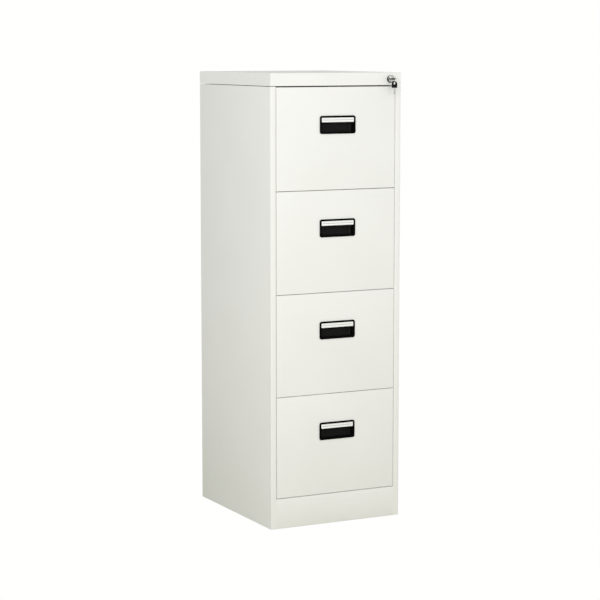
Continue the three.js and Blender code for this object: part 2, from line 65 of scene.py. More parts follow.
# Light on the cabinet: the world all round, and a floor that is darker close by than far away
WORLD_LIGHT = 0.71
FLOOR_DARK_RADIUS = 0.8
FLOOR_LIGHT_RADIUS = 2.6
FLOOR_HALF = 60
FLOOR_DROP = 0.2 * MM

# Handle: a bezel with the label above and a finger recess below
HANDLE_CORNER = 6.5 * MM
HANDLE_EDGE = 0.7 * MM
HANDLE_RIM = 5 * MM
BEZEL_THICKNESS = 2.5 * MM
CUTOUT_MARGIN = 4.3 * MM
RECESS_HEIGHT = 26 * MM
RECESS_CORNER = 4 * MM
LABEL_HEIGHT = 14.3 * MM
LABEL_CORNER = 1.5 * MM
LABEL_SEAT = 1.7 * MM
LIP = 0.6 * MM
LIP_THICKNESS = 0.9 * MM
POCKET_CORNER = 4.5 * MM
POCKET_WALL = 1.5 * MM
HOLLOW_SETBACK = 1.8 * MM
HOLLOW_CORNER = 6 * MM

RULE_MARGIN = 4 * MM
RULE_WIDTH = 1.2 * MM

# A printed or painted layer stands this far in front of the sheet under it
LAYER = 0.03 * MM

# Filled welds between the plinth and the stiles, up to a gap below the lowest drawer
WELD_INNER = 195.2 * MM
WELD_OUTER = 198.6 * MM
WELD_DEPTH = 1.2 * MM
PLINTH_GAP = 2.4 * MM

# Keys: a plastic bow on a cut blade, drawn from the bow's foot
BOW_LENGTH = 19.4 * MM
BOW_FOOT_CORNER = 2 * MM
BOW_EDGE = 0.9 * MM
BOW_HOLE_RADIUS = 3.8 * MM
BOW_HOLE_FROM_TOP = 6.2 * MM
DISH_SIZE = (5.6 * MM, 5.2 * MM)
DISH_PLACE = (4.6 * MM, 4.4 * MM)
DISH_CORNER = 1.5 * MM
DISH_DEPTH = 0.35 * MM
BLADE_WIDTH = 7 * MM
BLADE_THICKNESS = 1.8 * MM
BLADE_LENGTH = 19 * MM
BLADE_TIP = 2.5 * MM
TANG = 6 * MM
GROOVE_WIDTH = 1.3 * MM
GROOVE_DEPTH = 0.5 * MM
GROOVE_END = -1.6 * MM
GROOVE_MIDDLES = {-1: -1.3 * MM, 1: 0.4 * MM}
KEY_CUTS = (1.6 * MM, 0.6 * MM, 2.1 * MM, 1.1 * MM)
KEY_CUT_PITCH = 3.4 * MM
FIT_GAP = 0.3 * MM

# Split ring
RING_TURNS = 2
STEPS_PER_TURN = 56
COIL_GAP = 0.02 * MM

# Lock. The groove in its face lists (radius, depth) in mm. Its dark rim starts at RIM_START. Between
# the two heights the rim's colour fades from painted shade below to bright chrome above.
LOCK_PROUD = 5 * MM
LOCK_BORE = 6.3 * MM
LOCK_FACE_RADIUS = 11.5 * MM
LOCK_EDGE = 1.2 * MM
LOCK_BARREL_RADIUS = 9 * MM
THREAD_PITCH = 1.5 * MM
THREAD_DEPTH = 0.6 * MM
BORE_CHAMFER = 0.6 * MM
BEZEL_GROOVE = ((8.4, 0), (8.6, 0.25), (9.0, 0.25), (9.2, 0))
RIM_START = 9.1 * MM
RIM_PAINTED_SHADE = (1313 * MM, 1324 * MM)
CAM_ARM = 10 * MM
CAM_ARM_HALF_WIDTH = 3.5 * MM
CAM_GAP = 0.5 * MM
CAM_SHEET = 1.5 * MM
CAM_PIN_RADIUS = 1.5 * MM
KEYWAY_CORNER = 0.4 * MM
NUT_RADIUS = 12.6 * MM
NUT_THICKNESS = 3.5 * MM
NUT_CLEARANCE = 0.1 * MM
ROUND_STEPS = 72

# Ball cages between the slide members, in mm: x, web and lip from the cabinet's middle plane, z from
# the slide's middle
OUTER_BALLS = {"x": 188.8, "z": 20.45, "web": 193.2, "lip": 187.6, "radius": 1.1}
INNER_BALLS = {"x": 187.4, "z": 16.95, "web": 189.5, "lip": 186.1, "radius": 1.3}
CAGE_LENGTH = 225 * MM
CAGE_SHEET = 0.4 * MM
BALL_PITCH = 15 * MM

# Turned heads, as (radius, height) in mm from the sheet they stand on
RIVET = ((3.2, 0), (3.2, 0.25), (2.9, 0.7), (2.2, 1.05), (1.3, 1.2), (1.05, 0.95), (0.95, 0.6))
BUMPER = ((3.6, 0), (3.6, 7.2), (3.4, 8.0), (2.9, 8.6), (2.2, 8.9), (1.2, 8.9), (0.9, 8.4))

# Where the heads stand: slide rivets as parts of the tray's length, the others in mm
SLIDE_RIVETS_ALONG = (0.08, 0.34, 0.62, 0.9)
FRONT_RIVETS_X = (-155, -80, 80, 155)
FRONT_RIVETS_UP = (45, 235)
BUMPER_X = 150
BUMPER_FROM_SEAM = 7

# Mesh clean-up
WELD_DISTANCE = 0.002 * MM
BEND_ANGLE = 40


# ---- Materials ----

class Surface:
    """A node material with one Principled shader, built up from the object's own coordinates."""

    def __init__(self, name, **sockets):
        self.material = bpy.data.materials.new(name)
        self.material.use_nodes = True
        self.tree = self.material.node_tree
        self.shader = self.tree.nodes["Principled BSDF"]
        for socket, value in sockets.items():
            self.shader.inputs[socket.replace("_", " ")].default_value = value
        self.place = self.add("ShaderNodeTexCoord").outputs["Object"]

    def add(self, kind, **settings):
        node = self.tree.nodes.new(kind)
        for name, value in settings.items():
            setattr(node, name, value)
        return node

    def link(self, output, target):
        self.tree.links.new(output, target)

    def stretched(self, scale):
        """The coordinates, scaled along each axis, for grain that runs one way."""
        node = self.add("ShaderNodeMapping")
        node.inputs["Scale"].default_value = scale
        self.link(self.place, node.inputs["Vector"])
        return node.outputs["Vector"]

    def noise(self, scale, detail, place=None):
        node = self.add("ShaderNodeTexNoise")
        node.inputs["Scale"].default_value = scale
        node.inputs["Detail"].default_value = detail
        self.link(place or self.place, node.inputs["Vector"])
        return node.outputs["Fac"]

    def cells(self, scale):
        node = self.add("ShaderNodeTexVoronoi", feature="SMOOTH_F1")
        node.inputs["Scale"].default_value = scale
        self.link(self.place, node.inputs["Vector"])
        return node.outputs["Distance"]

    def spread(self, value, low, high, start=0.3, end=0.7):
        """Maps value from start..end to low..high."""
        node = self.add("ShaderNodeMapRange")
        for name, number in zip(("From Min", "From Max", "To Min", "To Max"), (start, end, low, high)):
            node.inputs[name].default_value = number
        self.link(value, node.inputs["Value"])
        return node.outputs["Result"]

    def between(self, value, first, second):
        node = self.add("ShaderNodeMix", data_type="RGBA")
        colours = [socket for socket in node.inputs if socket.type == "RGBA"]
        colours[0].default_value = (*first, 1)
        colours[1].default_value = (*second, 1)
        self.link(value, node.inputs["Factor"])
        return [socket for socket in node.outputs if socket.type == "RGBA"][0]

    def total(self, first, second):
        node = self.add("ShaderNodeMath", operation="ADD")
        self.link(first, node.inputs[0])
        self.link(second, node.inputs[1])
        return node.outputs[0]

    def colour(self, output):
        self.link(output, self.shader.inputs["Base Color"])

    def roughness(self, output):
        self.link(output, self.shader.inputs["Roughness"])

    def bump(self, height, strength, distance):
        node = self.add("ShaderNodeBump")
        node.inputs["Strength"].default_value = strength
        node.inputs["Distance"].default_value = distance
        self.link(height, node.inputs["Height"])
        self.link(node.outputs["Normal"], self.shader.inputs["Normal"])


def painted_steel():
    """White powder coat: a faint orange peel, and a little unevenness in tone and gloss."""
    paint = Surface("painted_steel", Specular_IOR_Level=0.4)
    tone = paint.spread(paint.noise(5, 4), 0, 1)
    paint.colour(paint.between(tone, (0.850, 0.846, 0.818), (0.872, 0.868, 0.845)))
    paint.roughness(paint.spread(paint.noise(40, 3), 0.40, 0.50))
    peel = paint.total(paint.noise(700, 2), paint.spread(paint.noise(2600, 1), 0, 0.35))
    paint.bump(peel, 0.12, 0.05 * MM)
    return paint.material


def zinc_steel():
    """Bright zinc plate over rolled strip: streaks along the strip and a soft spangle."""
    zinc = Surface("zinc_steel", Metallic=1.0)
    spangle = zinc.cells(160)
    tone = zinc.spread(spangle, 0, 1, 0.1, 0.8)
    zinc.colour(zinc.between(tone, (0.60, 0.61, 0.63), (0.72, 0.73, 0.73)))
    streaks = zinc.noise(30, 4, zinc.stretched((60, 2, 60)))
    zinc.roughness(zinc.spread(streaks, 0.26, 0.42))
    zinc.bump(streaks, 0.15, 0.03 * MM)
    return zinc.material


def black_plastic():
    """Black moulded plastic with a fine spark-eroded grain."""
    plastic = Surface("black_plastic", Specular_IOR_Level=0.14)
    tone = plastic.noise(90, 3)
    plastic.colour(plastic.between(tone, (0.0024, 0.0024, 0.0022), (0.0042, 0.0041, 0.0038)))
    plastic.roughness(plastic.spread(plastic.noise(120, 2), 0.38, 0.52))
    plastic.bump(plastic.noise(1900, 3), 0.25, 0.06 * MM)
    return plastic.material


def dull_black_plastic_painted_shade():
    """The handle's rim, textured deeper than its pocket so that it shines less, and coloured a darker
    black than the pocket as painted shade.
    """
    plastic = Surface("dull_black_plastic_painted_shade", Specular_IOR_Level=0.04)
    tone = plastic.noise(90, 3)
    # Painted shade: a darker black than the pocket's, so that the rim reads darker.
    plastic.colour(plastic.between(tone, (0.0008, 0.0008, 0.0006), (0.0020, 0.0020, 0.0016)))
    plastic.roughness(plastic.spread(plastic.noise(120, 2), 0.55, 0.70))
    plastic.bump(plastic.noise(1500, 3), 0.3, 0.06 * MM)
    return plastic.material


def grey_print():
    """Grey ink on card, a little uneven where the fibre took it up."""
    ink = Surface("grey_print", Specular_IOR_Level=0.2)
    fibre = ink.noise(900, 5, ink.stretched((0.5, 1, 1)))
    ink.colour(ink.between(fibre, (0.34, 0.34, 0.33), (0.46, 0.46, 0.45)))
    ink.roughness(ink.spread(fibre, 0.7, 0.9))
    return ink.material


def nickel():
    """Nickel plate with fine handling scratches."""
    plate = Surface("nickel", Metallic=1.0)
    plate.colour(plate.between(plate.noise(300, 3), (0.58, 0.58, 0.57), (0.68, 0.68, 0.67)))
    scratches = plate.noise(60, 5, plate.stretched((90, 8, 14)))
    plate.roughness(plate.spread(scratches, 0.28, 0.44))
    plate.bump(scratches, 0.10, 0.02 * MM)
    return plate.material


def bright_chrome():
    """Satin chrome on the lock's face and the split ring."""
    chrome = Surface("bright_chrome", Metallic=0.75)
    wear = chrome.noise(420, 4)
    chrome.colour(chrome.between(wear, (0.90, 0.90, 0.88), (0.98, 0.98, 0.97)))
    chrome.roughness(chrome.spread(wear, 0.30, 0.42))
    chrome.bump(chrome.noise(1500, 2), 0.08, 0.02 * MM)
    return chrome.material


def rim_chrome_painted_shade():
    """Chrome on the lock's rim, with shade painted into its colour towards the bottom."""
    chrome = Surface("rim_chrome_painted_shade", Metallic=1.0)
    axes = chrome.add("ShaderNodeSeparateXYZ")
    chrome.link(chrome.place, axes.inputs[0])
    height = chrome.total(axes.outputs["Z"], chrome.spread(chrome.noise(260, 3), -1.5 * MM, 1.5 * MM))
    painted_light_level = chrome.spread(height, 0, 1, *RIM_PAINTED_SHADE)
    # Painted shade: the rim's colour goes near black at the bottom and bright chrome above, with a
    # ragged edge.
    chrome.colour(chrome.between(painted_light_level, (0.035, 0.035, 0.033), (0.74, 0.73, 0.71)))
    chrome.roughness(chrome.spread(chrome.noise(300, 3), 0.22, 0.34))
    return chrome.material


def card():
    """Plain white card with paper fibre."""
    paper = Surface("card", Specular_IOR_Level=0.25)
    fibre = paper.noise(900, 5, paper.stretched((0.5, 1, 1)))
    paper.colour(paper.between(fibre, (0.86, 0.86, 0.84), (0.94, 0.94, 0.93)))
    paper.roughness(paper.spread(fibre, 0.75, 0.9))
    paper.bump(fibre, 0.2, 0.03 * MM)
    return paper.material


# ---- Meshes ----

def new_piece(name, mesh, material):
    piece = bpy.data.objects.new(name, mesh)
    bpy.context.collection.objects.link(piece)
    mesh.materials.append(material)
    return piece


def smooth_by_angle(mesh, degrees=32):
    for polygon in mesh.polygons:
        polygon.use_smooth = True
    mesh.set_sharp_from_angle(angle=math.radians(degrees))


def add_skin(bm, rings, loop=False):
    """A skin over rings of points with equal counts, capped at both ends or joined end to end."""
    rows = [[bm.verts.new(point) for point in ring] for ring in rings]
    count = len(rows[0])
    pairs = list(zip(rows, rows[1:]))
    if loop:
        pairs.append((rows[-1], rows[0]))
    else:
        bm.faces.new(rows[0])
        bm.faces.new(rows[-1])
    for row, after in pairs:
        for i in range(count):
            j = (i + 1) % count
            bm.faces.new((row[i], row[j], after[j], after[i]))


def finished_mesh(bm):
    bmesh.ops.recalc_face_normals(bm, faces=bm.faces)
    mesh = bpy.data.meshes.new("mesh")
    bm.to_mesh(mesh)
    bm.free()
    return mesh


def mesh_of(rings, loop=False):
    bm = bmesh.new()
    add_skin(bm, rings, loop)
    return finished_mesh(bm)


def prism(outline, start, end, place):
    """A solid with the outline's points (u, v), from start to end. place(u, v, w) is a 3-D point."""
    rings = [[place(u, v, w) for u, v in outline] for w in (start, end)]
    return mesh_of(rings)


def facing_front(x, z):
    """place for a prism drawn in (X, Z) round (x, z) and carried along Y."""
    return lambda u, v, w: Vector((x + u, w, z + v))


def turned(profile, centre):
    """A ring turned round an axis along Y through centre. profile is closed and lists (radius, y)."""
    rings = []
    for i in range(ROUND_STEPS):
        angle = 2 * math.pi * i / ROUND_STEPS
        across = math.cos(angle)
        up = math.sin(angle)
        rings.append([(centre.x + r * across, y, centre.z + r * up) for r, y in profile])
    return mesh_of(rings, loop=True)


def arc(centre, radius, start, end, steps):
    angles = [math.radians(start + (end - start) * i / steps) for i in range(steps + 1)]
    return [(centre[0] + radius * math.cos(a), centre[1] + radius * math.sin(a)) for a in angles]


def rounded_rectangle(width, height, radius, steps=8, middle=(0, 0)):
    u = width / 2 - radius
    v = height / 2 - radius
    corners = ((u, -v, -90), (u, v, 0), (-u, v, 90), (-u, -v, 180))
    points = []
    for cu, cv, start in corners:
        points += arc((middle[0] + cu, middle[1] + cv), radius, start, start + 90, steps)
    return points


def baked(piece):
    """Applies the piece's modifiers to its mesh."""
    graph = bpy.context.evaluated_depsgraph_get()
    mesh = bpy.data.meshes.new_from_object(piece.evaluated_get(graph))
    old = piece.data
    piece.modifiers.clear()
    piece.data = mesh
    bpy.data.meshes.remove(old)


def carve(piece, meshes, operation="DIFFERENCE"):
    """Cuts each mesh out of the piece, or joins it on."""
    tools = []
    for mesh in meshes:
        tool = bpy.data.objects.new("tool", mesh)
        bpy.context.collection.objects.link(tool)
        modifier = piece.modifiers.new("boolean", "BOOLEAN")
        modifier.object = tool
        modifier.operation = operation
        modifier.solver = "EXACT"
        tools.append(tool)
    baked(piece)
    for tool in tools:
        bpy.data.objects.remove(tool)


def round_edges(piece, width, segments=3, degrees=40):
    modifier = piece.modifiers.new("round_edges", "BEVEL")
    modifier.width = width
    modifier.segments = segments
    modifier.limit_method = "ANGLE"
    modifier.angle_limit = math.radians(degrees)
    modifier.use_clamp_overlap = True
    baked(piece)


# ---- CAD nodes that stay: welded, and smooth over their bends ----

def welding_group():
    """A node group that welds a mesh and shades it smooth except over sharp edges."""
    group = bpy.data.node_groups.new("weld_and_smooth", "GeometryNodeTree")
    group.interface.new_socket("Geometry", in_out="INPUT", socket_type="NodeSocketGeometry")
    group.interface.new_socket("Geometry", in_out="OUTPUT", socket_type="NodeSocketGeometry")
    nodes = group.nodes
    start = nodes.new("NodeGroupInput")
    weld = nodes.new("GeometryNodeMergeByDistance")
    weld.inputs["Distance"].default_value = WELD_DISTANCE
    forget = nodes.new("GeometryNodeRemoveAttribute")
    forget.inputs["Name"].default_value = "custom_normal"
    bend = nodes.new("GeometryNodeInputMeshEdgeAngle")
    gentle = nodes.new("FunctionNodeCompare")
    gentle.operation = "LESS_THAN"
    gentle.inputs[1].default_value = math.radians(BEND_ANGLE)
    smooth_edges = nodes.new("GeometryNodeSetShadeSmooth")
    smooth_edges.domain = "EDGE"
    smooth_faces = nodes.new("GeometryNodeSetShadeSmooth")
    smooth_faces.domain = "FACE"
    end = nodes.new("NodeGroupOutput")
    chain = (start, weld, forget, smooth_edges, smooth_faces, end)
    for node, after in zip(chain, chain[1:]):
        group.links.new(node.outputs[0], after.inputs[0])
    group.links.new(bend.outputs["Unsigned Angle"], gentle.inputs[0])
    group.links.new(gentle.outputs[0], smooth_edges.inputs["Shade Smooth"])
    return group


def dress_cad_nodes(materials):
    group = welding_group()
    slot_of = {part["node"]: part["material_slot"] for part in frame["record"]["subparts"]}
    for name, node in frame["nodes"].items():
        node.data.materials.clear()
        node.data.materials.append(materials[slot_of[name]])
        modifier = node.modifiers.new("weld_and_smooth", "NODES")
        modifier.node_group = group


# ---- Handles ----

def build_handle(number, materials):
    """A bezel and its pocket: above, the label behind a lip; below, the recess for the fingers."""
    low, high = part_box(f"drawer_{number}_handle")
    width = high.x - low.x
    height = high.z - low.z
    middle = (low + high) / 2
    panel = low.y + BEZEL_THICKNESS
    inner_width = width - 2 * HANDLE_RIM
    place = facing_front(middle.x, middle.z)

    bezel = prism(rounded_rectangle(width, height, HANDLE_CORNER), low.y, panel, place)
    handle = new_piece(f"handle_{number}", bezel, materials["black_plastic"])
    round_edges(handle, HANDLE_EDGE, 4)
    pocket_width = width - 2 * CUTOUT_MARGIN
    pocket_height = height - 2 * CUTOUT_MARGIN
    pocket_outline = rounded_rectangle(pocket_width, pocket_height, POCKET_CORNER)
    pocket = prism(pocket_outline, panel - MM, high.y, place)
    carve(handle, [pocket], "UNION")

    recess_middle = -height / 2 + HANDLE_RIM + RECESS_HEIGHT / 2
    label_middle = height / 2 - HANDLE_RIM - LABEL_HEIGHT / 2
    mouth_width = inner_width - 2 * LIP
    mouth_place = (0, recess_middle + LIP / 2)
    mouth = rounded_rectangle(mouth_width, RECESS_HEIGHT - LIP, RECESS_CORNER, 8, mouth_place)
    window_height = LABEL_HEIGHT - 2 * LIP
    window = rounded_rectangle(mouth_width, window_height, LABEL_CORNER, 6, (0, label_middle))
    label = rounded_rectangle(inner_width, LABEL_HEIGHT, LABEL_CORNER, 6, (0, label_middle))
    hollow_start = panel + HOLLOW_SETBACK
    hollow_depth = high.y - POCKET_WALL - hollow_start
    hollow_width = pocket_width - 2 * POCKET_WALL
    half = hollow_width / 2
    corner_u = half - HOLLOW_CORNER
    corner_v = hollow_depth - HOLLOW_CORNER
    plan = [(-half, 0), (half, 0)]
    plan += arc((corner_u, corner_v), HOLLOW_CORNER, 0, 90, 8)
    plan += arc((-corner_u, corner_v), HOLLOW_CORNER, 90, 180, 8)
    hollow_bottom = recess_middle - RECESS_HEIGHT / 2
    hollow_top = pocket_height / 2 - POCKET_WALL

    def standing(u, v, w):
        return Vector((middle.x + u, hollow_start + v, middle.z + w))

    carve(
        handle,
        [
            prism(mouth, low.y - MM, hollow_start + 4 * MM, place),
            prism(window, low.y - MM, low.y + LABEL_SEAT, place),
            prism(label, low.y + LIP_THICKNESS, low.y + LABEL_SEAT, place),
            prism(plan, hollow_bottom, hollow_top, standing),
        ],
    )
    round_edges(handle, 0.35 * MM, 3, 50)
    # The rim in front of the panel takes the darker copy of the plastic, with painted shade.
    handle.data.materials.append(materials["dull_black_plastic_painted_shade"])
    for polygon in handle.data.polygons:
        polygon.material_index = 1 if polygon.center.y < panel else 0
    smooth_by_angle(handle.data, 40)
    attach(handle, f"drawer_{number}")
    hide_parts(f"drawer_{number}_handle")


def build_label_rule(number, ink):
    """The line ruled along the middle of the label, to write on."""
    low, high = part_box(f"drawer_{number}_label")
    middle = (low + high) / 2
    outline = rounded_rectangle(high.x - low.x - 2 * RULE_MARGIN, RULE_WIDTH, RULE_WIDTH / 3, 4)
    place = facing_front(middle.x, middle.z)
    line = prism(outline, low.y - LAYER, low.y + 0.1 * MM, place)
    rule = new_piece(f"label_rule_{number}", line, ink)
    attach(rule, f"drawer_{number}")


# ---- Plinth ----

def build_plinth_welds(paint):
    """The plinth is welded to the stiles, and the seams are filled, dressed and painted over."""
    stile_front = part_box("side_panel_left")[0].y
    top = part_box("drawer_4_front")[0].z - PLINTH_GAP
    for side_name, side in SIDES.items():
        edges = sorted((side * WELD_INNER, side * WELD_OUTER))
        outline = [(edges[0], 0), (edges[1], 0), (edges[1], top), (edges[0], top)]
        weld = prism(outline, stile_front - LAYER, stile_front + WELD_DEPTH, facing_front(0, 0))
        piece = new_piece(f"plinth_weld_{side_name}", weld, paint)
        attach(piece, "carcass")


# ---- Keys and their ring ----

def circle(centre, radius, steps=48):
    return arc(centre, radius, 0, 360, steps)[:-1]


def build_bow(name, width, thickness, place, plastic):
    """The bow's foot is at v = 0 and its round top at v = BOW_LENGTH."""
    half = width / 2
    corner = BOW_FOOT_CORNER
    outline = arc((-half + corner, corner), corner, 180, 270, 6)
    outline += arc((half - corner, corner), corner, 270, 360, 6)
    outline += arc((0, BOW_LENGTH - half), half, 0, 180, 32)
    bow = new_piece(name, prism(outline, -thickness / 2, thickness / 2, place), plastic)
    round_edges(bow, BOW_EDGE, 4)

    hole = circle((0, BOW_LENGTH - BOW_HOLE_FROM_TOP), BOW_HOLE_RADIUS)
    tang = rounded_rectangle(BLADE_WIDTH + 2 * FIT_GAP, 2 * TANG, 0.2 * MM, 2)
    half_slot = BLADE_THICKNESS / 2 + FIT_GAP
    tools = [prism(hole, -thickness, thickness, place), prism(tang, -half_slot, half_slot, place)]
    for side in (-1, 1):
        dish = rounded_rectangle(*DISH_SIZE, DISH_CORNER, 6, (side * DISH_PLACE[0], DISH_PLACE[1]))
        for face in (-1, 1):
            start, end = sorted((face * (thickness / 2 - DISH_DEPTH), face * thickness))
            tools.append(prism(dish, start, end, place))
    carve(bow, tools)
    round_edges(bow, 0.2 * MM, 2, 50)
    smooth_by_angle(bow.data, 40)
    return bow


def build_blade(name, place, metal):
    """The blade points along -v, with its cuts along +u and a groove milled in each face."""
    half = BLADE_WIDTH / 2
    outline = [
        (-half, TANG - FIT_GAP),
        (-half, -BLADE_LENGTH + BLADE_TIP),
        (-half + BLADE_TIP, -BLADE_LENGTH),
        (half - 3 * MM, -BLADE_LENGTH),
    ]
    first_cut = -BLADE_LENGTH + 2 * MM
    for i, depth in enumerate(KEY_CUTS):
        start = first_cut + i * KEY_CUT_PITCH
        outline.append((half - 0.4 * MM, start))
        outline.append((half - depth, start + KEY_CUT_PITCH * 0.35))
        outline.append((half - depth, start + KEY_CUT_PITCH * 0.6))
    outline.append((half, first_cut + len(KEY_CUTS) * KEY_CUT_PITCH))
    outline.append((half, TANG - FIT_GAP))
    face = BLADE_THICKNESS / 2
    blade = new_piece(name, prism(outline, -face, face, place), metal)

    tools = []
    length = BLADE_LENGTH + GROOVE_END
    for side, middle in GROOVE_MIDDLES.items():
        spot = (middle, GROOVE_END - length)
        groove = rounded_rectangle(GROOVE_WIDTH, 2 * length, 0.6 * MM, 6, spot)
        start, end = sorted((side * (face - GROOVE_DEPTH), side * 2 * face))
        tools.append(prism(groove, start, end, place))
    carve(blade, tools)
    round_edges(blade, 0.12 * MM, 2)
    smooth_by_angle(blade.data, 35)
    return blade


def build_key_in_lock(materials):
    """The key that stands in the lock lies flat, with its bow towards -Y."""
    low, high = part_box("key_1_bow")
    middle = (low + high) / 2

    def place(u, v, w):
        return Vector((middle.x + u, high.y - v, middle.z + w))

    bow = build_bow("key_1_bow_piece", high.x - low.x, high.z - low.z, place, materials["black_plastic"])
    blade = build_blade("key_1_blade_piece", place, materials["nickel"])
    for piece, node in ((bow, "key_1_bow"), (blade, "key_1_blade")):
        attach(piece, "key_1")
        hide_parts(node)


def build_spare_key(materials):
    """The spare key hangs upright. Its CAD solid is only the top of its bow."""
    low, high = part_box("key_2_bow")
    middle = (low + high) / 2
    foot = high.z - BOW_LENGTH

    def place(u, v, w):
        return Vector((middle.x + u, middle.y + w, foot + v))

    bow = build_bow("key_2_bow_piece", high.x - low.x, high.y - low.y, place, materials["black_plastic"])
    blade = build_blade("key_2_blade_piece", place, materials["nickel"])
    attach(bow, "key_2")
    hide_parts("key_2_bow")
    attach(blade, "key_2")


def build_split_ring(metal):
    """Two turns of flat wire side by side, wound round an axis along X."""
    low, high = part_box("key_ring")
    middle = (low + high) / 2
    outer = (high.z - low.z) / 2
    wire = high.x - low.x
    radius = outer - wire / 2
    steps = STEPS_PER_TURN * RING_TURNS
    coil = (wire - 3 * COIL_GAP) / RING_TURNS
    section = rounded_rectangle(wire, coil - COIL_GAP, 0.16 * MM, 3)
    rings = []
    for i in range(steps + 1):
        part = i / steps
        angle = 2 * math.pi * RING_TURNS * part
        along = (part - 0.5) * coil * (RING_TURNS - 1)
        ring = []
        for u, v in section:
            reach = radius + u
            y = middle.y + reach * math.cos(angle)
            z = middle.z + reach * math.sin(angle)
            ring.append((middle.x + along + v, y, z))
        rings.append(ring)
    ring = new_piece("split_ring", mesh_of(rings), metal)
    smooth_by_angle(ring.data, 50)
    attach(ring, "key_ring")
    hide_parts("key_ring")


# ---- Lock ----

def face_and_rim(piece, axis, skirt, materials):
    """Gives the part of a lock piece in front of the lid's skirt a bright face and a darker rim, whose
    colour has painted shade towards the bottom.
    """
    piece.data.materials.append(materials["bright_chrome"])
    piece.data.materials.append(materials["rim_chrome_painted_shade"])
    for polygon in piece.data.polygons:
        if polygon.center.y < skirt:
            from_axis = math.hypot(polygon.center.x - axis.x, polygon.center.z - axis.z)
            on_face = polygon.normal.y < -0.9 and from_axis < RIM_START
            polygon.material_index = 1 if on_face else 2


def build_lock_housing(materials):
    """A bezel with a turned groove, on a threaded barrel held by a nut behind the lid's skirt."""
    low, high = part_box("lock_housing")
    middle = (low + high) / 2
    face = low.y
    skirt = face + LOCK_PROUD
    profile = [(LOCK_BORE, face + BORE_CHAMFER), (LOCK_BORE + BORE_CHAMFER, face)]
    profile += [(radius * MM, face + depth * MM) for radius, depth in BEZEL_GROOVE]
    profile += arc((LOCK_FACE_RADIUS - LOCK_EDGE, face + LOCK_EDGE), LOCK_EDGE, 270, 360, 6)
    profile += [(LOCK_FACE_RADIUS, skirt - FIT_GAP), (LOCK_BARREL_RADIUS, skirt - FIT_GAP)]
    thread_start = skirt + MM
    threads = int((high.y - thread_start) / THREAD_PITCH)
    for i in range(threads):
        y = thread_start + i * THREAD_PITCH
        profile.append((LOCK_BARREL_RADIUS, y))
        profile.append((LOCK_BARREL_RADIUS - THREAD_DEPTH, y + THREAD_PITCH / 2))
    profile += [(LOCK_BARREL_RADIUS - THREAD_DEPTH, high.y), (LOCK_BORE, high.y)]
    housing = new_piece("lock_housing_piece", turned(profile, middle), materials["nickel"])
    face_and_rim(housing, middle, skirt, materials)
    smooth_by_angle(housing.data, 30)
    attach(housing, "carcass")
    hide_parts("lock_housing")

    nut_start = skirt + SHEET + FIT_GAP
    place = facing_front(middle.x, middle.z)
    hexagon = circle((0, 0), NUT_RADIUS, 6)
    blank = prism(hexagon, nut_start, nut_start + NUT_THICKNESS, place)
    nut = new_piece("lock_nut", blank, materials["nickel"])
    bore = circle((0, 0), LOCK_BARREL_RADIUS + NUT_CLEARANCE, ROUND_STEPS)
    carve(nut, [prism(bore, skirt, high.y, place)])
    round_edges(nut, 0.4 * MM, 2)
    smooth_by_angle(nut.data)
    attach(nut, "carcass")


def build_lock_plug(materials):
    """The plug with its keyway, and the cam on its rear end with the pin that lifts the lock bar."""
    low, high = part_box("lock_plug")
    housing_low, housing_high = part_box("lock_housing")
    x = (housing_low.x + housing_high.x) / 2
    z = (housing_low.z + housing_high.z) / 2
    place = facing_front(x, z)
    radius = LOCK_BORE - FIT_GAP
    cam_front = housing_high.y + CAM_GAP
    cam_back = cam_front + CAM_SHEET
    barrel = prism(circle((0, 0), radius, ROUND_STEPS), low.y, cam_back, place)
    plug = new_piece("lock_plug_piece", barrel, materials["nickel"])
    round_edges(plug, 0.3 * MM, 2)
    half = CAM_ARM_HALF_WIDTH
    arm = [(0, -half)] + arc((CAM_ARM, 0), half, -90, 90, 16) + [(0, half)]
    pin = circle((CAM_ARM, 0), CAM_PIN_RADIUS, 24)
    carve(plug, [prism(arm, cam_front, cam_back, place), prism(pin, cam_front, high.y, place)], "UNION")
    keyway_width = BLADE_WIDTH + 2 * FIT_GAP
    keyway = rounded_rectangle(keyway_width, BLADE_THICKNESS + 2 * FIT_GAP, KEYWAY_CORNER, 4)
    carve(plug, [prism(keyway, low.y - MM, housing_high.y - CAM_GAP, place)])
    round_edges(plug, 0.15 * MM, 2, 50)
    face_and_rim(plug, Vector((x, 0, z)), low.y + MM, materials)
    smooth_by_angle(plug.data)
    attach(plug, "lock_plug")
    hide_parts("lock_plug")


# ---- Ball cages of the slides ----

def build_cage(name, body, side, balls, start, height, materials):
    """A folded strip with a row of balls in each lip, from start back along +Y."""
    half = CAGE_SHEET / 2
    x, z, web, lip, radius = (balls[key] * MM for key in ("x", "z", "web", "lip", "radius"))
    outline = [
        (lip, z + half), (web + half, z + half), (web + half, -z - half), (lip, -z - half),
        (lip, -z + half), (web - half, -z + half), (web - half, z - half), (lip, z - half),
    ]
    bm = bmesh.new()
    place = facing_front(0, height)
    ends = (start, start + CAGE_LENGTH)
    add_skin(bm, [[place(side * u, v, w) for u, v in outline] for w in ends])
    strip_faces = len(bm.faces)
    for i in range(int(CAGE_LENGTH / BALL_PITCH)):
        y = start + (i + 0.5) * BALL_PITCH
        for row in (-1, 1):
            spot = Matrix.Translation((side * x, y, height + row * z))
            bmesh.ops.create_icosphere(bm, subdivisions=2, radius=radius, matrix=spot)
    bm.faces.ensure_lookup_table()
    for face in bm.faces[strip_faces:]:
        face.material_index = 1
        face.smooth = True
    cage = new_piece(name, finished_mesh(bm), materials["zinc_steel"])
    cage.data.materials.append(materials["nickel"])
    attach(cage, body)


